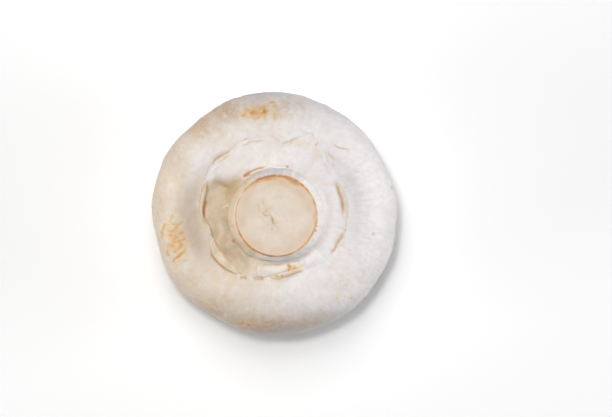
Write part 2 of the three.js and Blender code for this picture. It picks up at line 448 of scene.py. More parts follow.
# Scuffs on the left of the margin: (points, half width, how brown).
SCUFFS = [
    ([(-19.6, 0.1), (-20.1, -1), (-20.7, -2.2)], 0.5, 0.5),
    ([(-20.6, -1.6), (-21.4, -2.5), (-22, -3.8), (-22, -5.6)], 0.5, 0.52),
    ([(-17.1, -1.4), (-18.3, -2), (-19, -2.5), (-19.6, -3.4)], 0.5, 0.5),
    ([(-19, -2.4), (-20.1, -2.1), (-21.1, -2.6)], 0.32, 0.46),
    ([(-19, -3), (-20, -3.5), (-21.3, -3.2)], 0.38, 0.54),
    ([(-17.1, -3.5), (-18.4, -4), (-19.4, -4.8), (-20.6, -5.1)], 0.5, 0.56),
    ([(-16.7, -4.6), (-18, -5.2), (-19.1, -5.9), (-20.3, -6.7)], 0.52, 0.56),
    ([(-17.1, -5.7), (-18.1, -6.2), (-19, -7.2), (-20.2, -7.7)], 0.5, 0.52),
    ([(-15.7, -5.2), (-16.5, -5.5), (-17.3, -5.9)], 0.36, 0.4),
    ([(-16.5, -6.3), (-17.7, -7.4), (-18.5, -8.2), (-19.5, -8.9), (-20.6, -9.8)], 0.52, 0.58),
    ([(-17.9, -7.7), (-18.6, -8.3), (-19.2, -8.8)], 0.45, 0.66),
    ([(-20.8, -5.8), (-20.9, -7.2), (-20.7, -8.8)], 0.42, 0.48),
    ([(-19.1, -5.1), (-19.2, -6.4), (-19.9, -7.8)], 0.44, 0.52),
    ([(-16.1, -8.4), (-17.1, -9.1), (-18.1, -9.6)], 0.42, 0.4),
    ([(-18.9, -9.6), (-19.2, -10.5), (-19.5, -11.5)], 0.38, 0.4),
]

# Bruises on the skin: (*oval, how brown, how broken up).
BRUISES = [
    (-1.9, 19.95, 0.8, 1.1, 0.82, 0.2), (-3.9, 19.7, 1.6, 0.9, 0.74, 0.25),
    (-5.3, 20.35, 1, 0.7, 0.62, 0.35), (-3.2, 18.9, 1.1, 0.8, 0.6, 0.3),
    (0.1, 19.3, 0.9, 0.8, 0.5, 0.3), (-5.9, 19.2, 1.2, 0.9, 0.5, 0.3),
    (-2.8, 19.8, 4.2, 1.7, 0.5, 0.35), (-0.5, 21.7, 1, 0.5, 0.48, 0.4),
    (1.6, 20, 1.2, 0.8, 0.3, 0.6), (-3.2, 22, 2.2, 0.35, 0.2, 0.5),
    (-11.7, 20.2, 0.7, 0.35, 0.7, 0.4), (-13.4, 19.4, 0.5, 0.4, 0.65, 0.4),
    (-14.1, 18.7, 0.6, 0.4, 0.6, 0.5), (-16, 17.5, 0.45, 0.4, 0.5, 0.4),
    (-12.8, 18.6, 2.6, 1.6, 0.28, 0.7), (-15.6, 16, 0.9, 1, 0.36, 0.7),
    (-20.1, -4.4, 1.5, 1, 0.57, 0.1), (-20, -6.2, 1.5, 1.3, 0.55, 0.1),
    (-19.2, -5, 2.5, 3.4, 0.525, 0.15), (-6, -21.6, 2, 0.7, 0.66, 0.5),
    (-2.6, -21.5, 3.2, 0.8, 0.3, 0.6), (4.4, -21.5, 1.6, 0.5, 0.38, 0.5),
    (16.6, -12.4, 1.4, 2.2, 0.12, 0.8), (17.7, -11.1, 0.7, 0.5, 0.32, 0.3),
    (17, -13.5, 0.6, 0.5, 0.32, 0.3), (19.3, -12, 0.4, 1, 0.24, 0.3),
    (12.9, -13.2, 0.9, 0.6, 0.28, 0.5), (11.9, -14.5, 0.8, 0.6, 0.26, 0.5),
    (15.2, -14.2, 0.4, 1.2, 0.24, 0.3), (15.2, -16.6, 0.6, 0.5, 0.36, 0.3),
    (12.4, -16.6, 0.5, 1.1, 0.28, 0.4), (10.6, -17.4, 1.2, 0.7, 0.24, 0.5),
    (9.3, -18.8, 0.9, 0.6, 0.36, 0.4), (-14.3, -17.3, 0.5, 0.4, 0.62, 0.2),
    (-12.3, -18, 0.5, 0.35, 0.54, 0.2), (-13.2, -16.4, 0.8, 0.6, 0.26, 0.4),
    (-17.6, -13.6, 1.4, 1.6, 0.24, 0.7), (-20.5, 4.7, 0.35, 0.35, 0.5, 0.2),
    (-21.4, 6.7, 0.5, 0.4, 0.36, 0.3), (-21.8, 1.4, 0.5, 0.5, 0.36, 0.3),
    (-20.1, 0.2, 0.4, 0.4, 0.34, 0.3), (-22.9, 2, 0.4, 0.8, 0.3, 0.3),
    (23.2, 5.1, 0.4, 0.4, 0.55, 0.2), (21.9, 7.9, 0.4, 1.2, 0.22, 0.3),
]

# Broad buff tints on the skin: (*oval, strength).
TINTS = [
    (-2.6, 20, 5.2, 2.2, 0.85), (-9.2, 20, 4.6, 2.3, 0.8), (-14.4, 17.4, 3.6, 3.4, 0.7),
    (-19.4, 11.2, 2.8, 4.6, 0.4), (-22.4, 2, 2.2, 6, 0.4), (-19.8, -5.6, 3, 5, 0.55),
    (-17.4, -13.4, 3.6, 3.6, 0.4), (-12.4, -18.6, 4.4, 2.6, 0.55), (-3, -21.6, 8, 1.8, 0.75),
    (6.6, -20.9, 5, 1.6, 0.4), (1.6, 21, 5, 2, 0.4), (8, 11.6, 1.6, 1.4, 0.25),
    (11.2, -9.8, 2.4, 2.2, 0.12), (13, -14, 2.6, 2.2, 0.2), (-15.4, -3.6, 1.5, 4.8, 0.44),
]

# Painted shade on top of the cap, as arcs() reads it: mauve near the top edge, at the upper right
# and at the right.
CAP_SHADES = [
    (0.1, CAP_RADIUS - 0.4, 1.6, 116, 34), (0.1, 19.2, 2.2, 52, 32), (0.1, 16.4, 1.6, -14, 48),
]


def skin_stain(rings, top):
    """How brown and how buff the cap's skin is, apart from tears, and how deep scuffs cut it."""
    x, y, _ = axes(rings)
    blotch = ripples(rings, 1.5, 31)
    fine = ripples(rings, 0.55, 32)
    wander = 0.07 * ripples(rings, 1.8, 22)
    scuff = np.zeros(x.shape)
    for line, width, brown in SCUFFS:
        cover = smooth(stroke(line, width, x + wander, y - wander, 0.27), 0, 0.95)
        scuff = np.maximum(scuff, brown * cover)
    stain = scuff * (1 + 0.12 * blotch)
    for *oval, brown, broken in BRUISES:
        gaps = np.clip(1 + broken * (0.45 * blotch + 0.4 * fine - 0.2), 0, 1.5)
        stain = np.maximum(stain, brown * patch(x, y, *oval) * gaps)
    tint = np.max([strength * patch(x, y, *oval) for *oval, strength in TINTS], axis=0)
    tint *= 1 + 0.24 * blotch + 0.16 * fine
    stain = np.maximum(stain, 0.5 * tint * smooth(blotch + 0.8 * fine, 1.0, 2.6))
    return stain * top, tint * top, scuff * top


def crown_flecks(rings):
    """Small tan flecks of dried skin, thickest on the crown."""
    speckle = smooth(ripples(rings, 1.6, 61) + 0.7 * ripples(rings, 0.8, 62), 1.9, 2.9)
    return 0.34 * speckle * smooth(rings[..., 2], EQUATOR_Z, EQUATOR_Z - 9)


def cap_profile():
    """Radii and heights of the cap's rings, and the number of the torn ring among them."""
    outer = CAP_RADIUS + waves(OUTLINE_LOBES, ANGLE)
    crest_z = CREST_Z + waves(CREST_WAVES, ANGLE)
    crest = CREST_RADIUS + 1.4 * hollow(ANGLE) - 1.5 * near(ANGLE, 268, 75)
    ring = ring_radius(ANGLE)

    flat_r = REST_RADIUS * np.linspace(0.25, 1, 5, endpoint=False)[:, None] * np.ones(AROUND)

    # the dome, up to the equator
    first = np.arcsin(REST_RADIUS / outer)
    depth = EQUATOR_Z / np.cos(first)
    turn = mix(first, pi / 2, np.linspace(0, 1, 40, endpoint=False)[:, None])
    dome_r = outer * np.sin(turn)
    dome_z = EQUATOR_Z - depth * np.cos(turn)

    # the margin, up to its crest
    turn = np.linspace(0, pi / 2, 46, endpoint=False)[:, None]
    fullness = 0.94  # below 1 it is fuller than an ellipse
    margin_r = mix(crest, outer, np.cos(turn) ** fullness)
    margin_z = mix(EQUATOR_Z, crest_z, np.sin(turn) ** fullness)

    # its roll inwards, down to the torn ring
    share = np.linspace(0, 1, 40)[:, None]
    roll_r = mix(crest, ring, share)
    fall = mix(share**2 * (1.35 - 0.35 * share), smooth(share, 0, 1), near(ANGLE, 52, 66, 0.4))
    roll_z = mix(crest_z, lip_z(ANGLE), fall)

    # the ledge, hidden by the veil and the stem
    ledge_r = np.stack([ring, ring, reach(ANGLE, FOOT_CENTRE, 9), reach(ANGLE, FOOT_CENTRE, 4)])
    ledge_z = np.array([LIP_Z - 2.4, LEDGE_Z, LEDGE_Z, LEDGE_Z - 1])[:, None] * np.ones(AROUND)

    radii = np.vstack([flat_r, dome_r, margin_r, roll_r, ledge_r])
    heights = np.vstack([0 * flat_r, dome_z, margin_z, roll_z, ledge_z])
    return radii, heights, len(radii) - len(ledge_r) - 1


def cap():
    radii, heights, seam = cap_profile()
    rings = turned(radii, heights, ANGLE)
    shown = (np.arange(len(radii)) <= seam)[:, None]
    outside = radii - ring_radius(ANGLE)  # how far outside the torn ring

    # how far a fibre has run over the skin from the middle of the crown
    steps = np.hypot(np.diff(radii, axis=0), np.diff(heights, axis=0))
    run = np.vstack([radii[:1], radii[:1] + np.cumsum(steps, axis=0)])
    silk = grain(18, ANGLE, run, 9)

    # soft dents and fibres on the skin, none on the flat that it rests on
    skin = 0.1 * ripples(rings, 13, 1) + 0.035 * ripples(rings, 4.2, 2)
    skin += 0.012 * ripples(rings, 1.6, 5)
    skin += 0.01 * ripples(silk, 0.9, 3) + 0.006 * ripples(silk, 0.45, 4)
    skin *= shown * smooth(heights, 0.2, 3) * smooth(outside, 0.1, 1.6)
    rings += normals(rings) * skin[..., None]

    x, y, z = axes(rings)
    r = np.hypot(x, y)
    valley = hill(r, 16.3, 1.7) * near(ANGLE, 190, 42, 0.2)  # outside the narrow flap
    z -= 0.35 * valley * shown * smooth(outside, 0, 0.8)

    top = shown * smooth(z, EQUATOR_Z, EQUATOR_Z + 5)
    height, torn = relief(rings)
    z += height * top
    bruised, tint, scuff = skin_stain(rings, top)
    z -= 0.12 * scuff

    # Painted shade in mauve: in the valley outside the narrow flap, in arcs on top, and more
    # towards the bottom of the view.
    painted_shade = 0.46 * valley + 0.16 * near(ANGLE, 208, 50) * hill(r, 15.4, 2)
    painted_shade += top * (arcs(r, CAP_SHADES) + 0.2 * near(ANGLE, 268, 75) * smooth(r, 13.5, 17))
    marks = {
        "stain": [np.maximum(bruised, crown_flecks(rings))],
        "cream": [creaminess(rings)],
        "painted_shade": [painted_shade],
        "tint": [tint],
        "torn": [torn * top],
        "grain": [silk],
    }
    return add_piece("cap", [rings], marks, sharp_row=seam)


# -------- veil

CLIMB_RADIUS = 8.35  # of its edge round the cut's middle, where it climbs the stem

# Painted shade on the veil, as arcs() reads it: in the trough at the right, at the upper right, and
# the stem's painted shadow below it.
VEIL_SHADES = [(0.4, 11, 0.8, -8, 58, 0.3), (0.25, 9.8, 1, 55, 42), (0.8, 10.2, 0.8, 272, 38)]

# Ovals where the veil is cream.
CREAM_PATCHES = [(8.2, 11.8, 1, 1.4), (5, 13.6, 2, 0.8), (-2.6, -10.2, 3.6, 1.2)]


def membrane_z(share, climb):
    """Height of the veil where it has not sunk: a trough round the stem, then a swelling, and a
    fillet where it climbs the stem."""
    trough_z = LIP_Z - 0.3 + 0.5 * near(ANGLE, 95, 62, 0.2) + 0.2 * near(ANGLE, 268, 40, 0.3)
    swelling = 0.25 + 0.45 * near(ANGLE, 95, 70, 0.2) + 0.2 * near(ANGLE, 0, 60)
    flat = mix(trough_z, lip_z(ANGLE), smooth(share, 0.1, 0.75))
    flat += swelling * np.sin(pi * share) ** 1.5
    flat += climb * (CUT_Z - 0.75 - trough_z) * unit(1 - share / 0.42) ** 1.7
    flat -= 0.2 * hill(share, 0, 0.06) * near(ANGLE, 95, 60, 0.3)
    return flat


def hollow_z(rings, share):
    """Height of the hollow's floor, which rises to its ends and to the ring."""
    floor = FLOOR_Z + 0.35 * smooth(share, 0.35, 0)
    floor = floor + 0.2 * ripples(rings, 4, 44) * smooth(share, 1, 0.6)
    floor += 1.1 * near(ANGLE, 230, 44, 0.2) * smooth(share, 0.75, 0.05)
    floor += 1.3 * near(ANGLE, 154, 24, 0.1) * smooth(share, 0.3, 0.9)
    floor += 0.6 * smooth(share, 0.5, 0.95)
    return floor


def veil():
    ring = ring_radius(ANGLE)
    climb = near(ANGLE, -14, 92, 0.4)  # where it runs up the stem
    low_edge = reach(ANGLE, FOOT_CENTRE, COLLAR_RADIUS - 0.15)
    high_edge = reach(ANGLE, CUT_CENTRE, CLIMB_RADIUS)
    inner = mix(low_edge, high_edge, climb) + 0.3 * near(ANGLE, 248, 30)
    share = np.linspace(1, 0, 96)[:, None]  # 1 at the ring, 0 at the stem
    radii = mix(inner, ring, share)
    rings = turned(radii, 0, ANGLE)
    x, y, z = axes(rings)

    edge = y + 0.4 * ripples(rings, 5, 43) - 0.25 * (x + 9) / 3
    wall = near(ANGLE, 188, 76, 0.45) * smooth(share, 1, 0.84)
    # Where the veil lies in the hollow it turns beige, partly its own colour and partly painted
    # shade of the recess, less of it at the hollow's upper left end.
    sunk = smooth(edge, 7.9, 6) * wall * (1 - 0.6 * patch(x, y, -12.6, 6, 1.7, 1.7))
    heights = mix(membrane_z(share, climb), hollow_z(rings, share), smooth(edge, 9.2, 4.6) * wall)

    # cockles and, at the upper right, folds along the fibres
    silk = grain(12, ANGLE, radii, 5)
    heights += 0.05 * ripples(rings, 3.2, 41) * smooth(share, 0, 0.15) * smooth(share, 1, 0.8)
    folds = 0.01 + 0.045 * near(ANGLE, 45, 40)
    heights += folds * ripples(silk, 1, 42) * smooth(share, 0, 0.3) * smooth(share, 1, 0.85)

    height, torn = relief(rings)
    line, width, rise = FIBRE
    fibre = stroke(line, width, x, y)
    z += heights + height + rise * fibre
    sunk *= 1 - 0.6 * fibre

    # Painted shade, olive, deepest under the swelling at the top of the hollow and along the stem.
    deep = 0.95 * patch(x, y, -7.8, 5.4, 3, 1.8)
    deep += 0.4 * smooth(share, 0.55, 0.1) * smooth(y, -7, -2)
    deep = sunk * unit(deep * (1 + 0.25 * ripples(rings, 1.3, 45)))
    cream = creaminess(rings) * (1 - 0.5 * near(ANGLE, 105, 50))
    for oval in CREAM_PATCHES:
        cream += 0.7 * patch(x, y, *oval)

    # underneath it lies flat on the ledge, and inside it is buried in the stem
    under_r = np.stack([inner - 0.5, inner - 0.5, mix(inner, ring, 0.5), ring])
    under_z = np.stack([z[-1] - 0.6, *np.full((3, AROUND), LEDGE_Z)])
    under = turned(under_r, under_z, ANGLE)
    # Painted shade in the trough at the right and painted shadow of the stem below it.
    painted_shade = arcs(np.hypot(x, y), VEIL_SHADES)
    marks = {"torn": torn, "sunk": sunk, "deep": deep, "cream": cream, "painted_shade": painted_shade}
    marks = {name: [np.vstack([0 * under_r, mark])] for name, mark in marks.items()}
    marks["grain"] = [np.vstack([grain(12, ANGLE, under_r, 5), silk])]
    rings = np.vstack([under, rings])
    return add_piece("veil", [rings], marks, loop=True, sharp_row=len(under))


# -------- stem

# Its side, from the foot to the rim of the cut: (radius, height).
STEM_SIDE = [
    (COLLAR_RADIUS - 1.1, stem_low[2]), (COLLAR_RADIUS - 0.5, LEDGE_Z),
    (COLLAR_RADIUS - 0.1, LEDGE_Z + 2.2), (COLLAR_RADIUS, LEDGE_Z + 3.8),
    (COLLAR_RADIUS - 0.1, CUT_Z - 2.9), (COLLAR_RADIUS - 0.35, CUT_Z - 1.8),
    (COLLAR_RADIUS - 0.75, CUT_Z - 0.9), (CUT_RADIUS + 0.16, CUT_Z - 0.28),
    (CUT_RADIUS - 0.06, CUT_Z),
]

# Cracks in the middle of the cut face: (points, half width, strength).
CRACKS = [
    ([(-1.8, 3.1), (-2.1, 2.2), (-1.9, 1.5), (-1.4, 1)], 0.22, 0.6),
    ([(-3.3, 1.9), (-3, 1), (-3.1, 0.3)], 0.22, 0.4),
    ([(-0.2, -0.9), (0.4, -1.7), (0.6, -2.6), (1.4, -3.3)], 0.2, 0.6),
    ([(-2.6, 0.5), (-2.1, -0.1), (-1.6, -0.5), (-0.8, -0.2)], 0.24, 0.75),
    ([(-1.1, 0.4), (-0.7, -0.5), (-0.3, -1.4), (0.1, -2.2), (0.8, -3.1)], 0.27, 1),
    ([(-3.2, -0.8), (-2.6, -1), (-2.2, -1.7)], 0.2, 0.45),
    ([(0.1, -2.2), (-0.5, -2.7), (-0.4, -3.4)], 0.2, 0.5),
    ([(-1.5, 0.9), (-1.4, 0.3), (-1.9, -0.2)], 0.2, 0.65),
]

# Dots of brown on the rim: (x, y, size, how brown).
RIM_DOTS = [
    (8.25, -2.4, 0.28, 0.7), (8.4, -1, 0.22, 0.6), (8.1, -3.3, 0.35, 0.75), (2.6, 5.9, 0.5, 0.3),
    (6.6, 3.9, 0.4, 0.35), (-4.6, 4.6, 0.4, 0.3), (4.2, 5.4, 0.4, 0.25),
]

# Pale gaps in the rim: (*oval, how pale). The first is a painted highlight: a glint on the rim's
# lifted inner edge.
RIM_GAPS_AND_PAINTED_GLINT = [(1.3, 6.3, 1.6, 0.2, 0.85), (-2.6, 5.75, 1, 0.2, 0.6)]


def stem_rim(rings, inward):
    """How brown the skin edge of the cut is: thick and dark at the top, a fine line elsewhere."""
    x, y, _ = axes(rings)
    angle = np.arctan2(y - CUT_CENTRE[1], x - CUT_CENTRE[0])
    heavy = near(angle, 88, 62, 0.3)
    lower_left = near(angle, 238, 62, 0.2)
    right = near(angle, 348, 62, 0.3)
    broken = ripples(rings, 1.2, 56)
    wide = 0.2 + 0.13 * heavy + 0.08 * lower_left + 0.12 * right
    middle = 0.17 + 0.14 * heavy + 0.06 * right + 0.03 * heavy * broken
    strength = 0.62 + 0.36 * heavy + 0.38 * lower_left + 0.04 * right
    strength = strength + 0.08 * ripples(rings, 1.6, 55) - 0.1 * heavy * broken
    line = hill(inward, middle, wide) * np.clip(strength, 0.2, 0.95)
    halo = (0.34 * heavy + 0.08 * right + 0.24) * hill(inward, 0.5, 0.8 + 0.2 * heavy)
    rim = np.maximum(line, halo * (1 + 0.2 * ripples(rings, 2.4, 60)))
    # Pale gaps; the first is a painted highlight, a glint on the lifted inner edge.
    rim *= 1 - sum(pale * patch(x, y, *oval) for *oval, pale in RIM_GAPS_AND_PAINTED_GLINT)
    for at_x, at_y, size, brown in RIM_DOTS:
        rim = np.maximum(rim, brown * patch(x, y, at_x, at_y, size, size))
    return rim, heavy


def stem_rings(angle):
    """The rings of the stem's side, and then those of its flat cut face, in to its middle."""
    widths, heights = spline(STEM_SIDE, 7).T[..., None]
    lean = smooth(heights, LEDGE_Z + 2.6, CUT_Z)
    circles = zip(mix(FOOT_CENTRE, CUT_CENTRE, lean), widths)
    radii = np.array([reach(angle, centre, radius) for centre, radius in circles])
    radii += waves(STEM_LOBES, angle) + lean * waves(CUT_LOBES, angle)
    radii += 0.5 * near(angle, 236, 46) * hill(heights, LEDGE_Z + 3, 2.2)
    side = turned(radii, heights, angle)
    share = np.linspace(0.985, 0.03, 60)[:, None, None]
    return side, mix(np.array([*CUT_CENTRE, CUT_Z]), side[-1], share)


def stem():
    steps = 480
    angle = np.arange(steps) / steps * 2 * pi
    side, face = stem_rings(angle)
    rings = np.vstack([side, face])
    x, y, z = axes(rings)
    on_face = (np.arange(len(rings)) >= len(side))[:, None] * np.ones(steps)

    # fibres down the side
    silk = grain(9, angle, z, 5)
    rough = 0.025 * ripples(silk, 0.9, 51) + 0.07 * ripples(rings, 3.5, 52)
    rough *= (1 - on_face) * smooth(z, CUT_Z, CUT_Z - 0.6)
    rings += normals(rings) * rough[..., None]

    # the cut face: slightly dished, with a shallow groove inside the rim and cracks in the middle
    inward = CUT_RADIUS - np.hypot(x - CUT_CENTRE[0], y - CUT_CENTRE[1])
    rim, heavy = stem_rim(rings, inward)
    groove = hill(inward, 0.7 + 0.2 * heavy, 0.32)
    z -= on_face * (0.1 * groove * (0.35 + heavy) + 0.1 * smooth(inward, 0.5, 6))
    z += on_face * 0.02 * ripples(rings * [1, 1, 0], 1.8, 53) * smooth(inward, 0, 1)
    wander = 0.12 * ripples(rings, 0.9, 54)
    crack = np.zeros(x.shape)
    for line, width, strength in CRACKS:
        crack = np.maximum(crack, strength * stroke(line, width, x + wander, y - wander, 0.4))
    z -= on_face * 0.45 * crack
    flaked = patch(x, y, -1.2, -0.6, 1, 2.2)
    z += on_face * 0.075 * flaked * ripples(rings * [1, 1, 0], 0.7, 57)

    stain = rim * smooth(z, CUT_Z - 0.7, CUT_Z - 0.25)
    stain = np.maximum(stain, 0.56 * smooth(crack, 0.1, 1) * on_face)
    # Painted shade on the side at the top, where the veil swells up close to the stem.
    painted_shade = 0.2 * near(angle, 92, 52, 0.3) * (1 - on_face) * smooth(z, CUT_Z - 0.2, CUT_Z - 1)
    # the cut flesh is pinker towards its rim, above all at the upper right
    peach = 0.45 * hill(inward, 1.2, 1.2) + 0.5 * near(angle, 64, 55) * hill(inward, 1.3, 1)
    peach = unit(peach * (1 + 0.25 * ripples(rings, 4, 58)) + 0.07 * ripples(rings, 3, 59))
    marks = {
        "stain": [stain],
        "cream": [np.where(on_face > 0, peach, near(angle, 184, 84, 0.5))],
        "painted_shade": [painted_shade],
        "cut": [on_face],
        "grain": [silk],
    }
    return add_piece("stem", [rings], marks)


# -------- flaps of torn veil

STRIP_THICKNESS = 0.3
STRIP_RAGGEDNESS = 0.05  # of a strip's inner edge
STRIP_DIP = 0.35  # how far its ends go into what lies below


def evenly(line, count):
    """A smooth line through (x, y, height over the torn ring), read at evenly spaced steps."""
    line = spline(line, 14)
    at = np.linspace(0, len(line) - 1, count)
    line = np.stack([np.interp(at, np.arange(len(line)), line[:, axis]) for axis in range(3)], -1)
    line[:, 2] += lip_z(np.arctan2(line[:, 1], line[:, 0]))
    return line


def strip(outer, inner, arch, crease, seed):
    """A curled strip between two edges: a closed shell, thinnest at its edges. Its grid runs along
    it by rows of points round its section."""
    count, wide = 90, 15
    a, b = evenly(outer, count), evenly(inner, count)
    b = b + STRIP_RAGGEDNESS * ripples(b, 1.3, seed)[:, None] * [1, 1, 0.5]
    along = np.linspace(0, 1, count)[:, None]
    across = np.linspace(0, 1, wide)
    middle = mix(a[:, None], b[:, None], across[:, None])
    middle[..., 2] += arch * np.sin(pi * across) - crease * hill(across, 0.5, 0.14)
    middle[..., 2] += 0.04 * ripples(middle, 1.6, seed + 100)
    middle[..., 2] -= STRIP_DIP * (1 - smooth(along, 0, 0.1) * smooth(along, 1, 0.9))
    out = one_long(np.cross(np.gradient(middle, axis=0), np.gradient(middle, axis=1)))
    facing = np.sign(out[..., 2].sum())
    out *= facing
    ends = np.sin(pi * np.linspace(0.02, 0.98, count)) ** 0.35
    body = STRIP_THICKNESS * (0.25 + 0.75 * np.sin(pi * np.linspace(0.04, 0.96, wide)))
    body = body * ends[:, None]
    upper = middle + out * body[..., None] / 2
    lower = middle - out * body[..., None] / 2
    section = np.concatenate([upper, lower[:, ::-1]], axis=1)
    # the points go round the section in the direction that turns every face outwards
    return section[:, ::-1] if facing > 0 else section


# Each strip: outer edge, inner edge, arch, crease along its middle, how aged its colour is. The
# edges' points are (x, y, height over the torn ring).
STRIPS = [
    # narrow crescent on the left, running out in a thin edge
    ([(-13, 7, -0.15), (-14, 4.9, 0), (-14.5, 2.8, 0.05), (-14.65, 0.7, 0), (-14.2, -1, -0.1),
      (-13.2, -2.5, -0.2), (-12.5, -3.9, -0.3)],
     [(-12.7, 6.7, -0.1), (-13.2, 4.7, 0.2), (-13.6, 2.8, 0.25), (-14, 0.8, 0.2),
      (-13.85, -0.8, 0.1), (-12.9, -2.3, -0.1), (-12.2, -3.7, -0.2)], 0.3, 0, 0.85),
    # ribbon at the lower left
    ([(-12.5, -4.3, -0.2), (-12.8, -5.8, -0.05), (-12.4, -7.4, 0), (-11.5, -8.9, 0.06),
      (-10.4, -10, 0.1), (-9.1, -10.95, 0.08), (-7.9, -11.6, 0.03), (-6.8, -12.1, -0.1)],
     [(-12.1, -4.2, -0.15), (-11.5, -5.7, 0), (-10.8, -6.9, 0.1), (-10.1, -8, 0.15),
      (-9.3, -9.1, 0.15), (-8.4, -10, 0.1), (-7.5, -10.8, 0.05),
      (-6.6, -11.5, -0.1)], 0.35, 0.28, 0.66),
    # folded flap at the bottom: the fold lying underneath, then the one above it
    ([(-1.3, -12.6, 0.1), (0.2, -12.85, 0.2), (1.6, -12.5, 0.3), (2.9, -12.1, 0.3),
      (4.2, -11.65, 0.25), (5.9, -11.1, 0.1)],
     [(-1.1, -11.7, 0.1), (0.4, -11.5, 0.2), (1.7, -11.1, 0.3), (2.9, -10.8, 0.3),
      (4.1, -10.5, 0.25), (5.7, -10.2, 0.1)], 0.25, 0, 0.6),
    ([(-3.5, -12.3, 0.05), (-1.6, -12.4, 0.25), (0, -11.95, 0.45), (1.6, -11.5, 0.55),
      (3.2, -11.1, 0.5), (4.7, -10.8, 0.35), (5.8, -10.6, 0.1)],
     [(-3.2, -10.1, -0.1), (-1.3, -10.1, 0.15), (0.3, -10.1, 0.35), (1.9, -9.95, 0.4),
      (3.4, -9.6, 0.4), (4.6, -9.4, 0.25), (5.6, -9.5, 0.05)], 0.35, 0.06, 0.12),
    # right, running out in a pale ridge
    ([(12.5, 6.4, -0.1), (13.6, 4.9, 0), (14.3, 3.2, 0.1), (14.6, 1.3, 0.1), (14.45, -0.6, 0),
      (14.2, -2, 0), (14, -3.6, -0.2)],
     [(12.3, 6.1, -0.1), (13.05, 4.4, 0.2), (13.6, 2.8, 0.3), (13.95, 1.1, 0.3),
      (13.95, -0.5, 0.2), (13.85, -1.9, 0.1), (13.75, -3.4, -0.1)], 0.2, 0, 0.28),
]

# Stains on the flap at the bottom: (*oval, how brown).
FLAP_STAINS = [
    (3.3, -10.3, 1.2, 0.6, 0.58), (3.5, -10.9, 1.8, 0.8, 0.44), (4.5, -9.8, 0.5, 0.4, 0.5),
    (5.7, -9.9, 0.2, 0.7, 0.36), (1.2, -12.2, 1.8, 0.45, 0.4), (0.8, -10.2, 1, 0.3, 0.34),
]


def flaps():
    """The strips, browner along their edges the more aged they are."""
    strips, aged, stains = [], [], []
    for seed, (outer, inner, arch, crease, age) in enumerate(STRIPS, 5):
        points = strip(outer, inner, arch, crease, seed)
        x, y, _ = axes(points)
        across = np.linspace(0, 1, points.shape[1] // 2)
        edge = 1 - np.sin(pi * np.concatenate([across, across[::-1]]))
        brown = 0.5 * age * edge**1.5
        for *oval, strength in FLAP_STAINS:
            brown = np.maximum(brown, strength * patch(x, y, *oval))
        strips.append(points)
        stains.append(brown * (1 + 0.3 * ripples(points, 1.2, 71)))
        aged.append(np.full(x.shape, age))
    return add_piece("veil_flaps", strips, {"aged": aged, "stain": stains})


# -------- materials


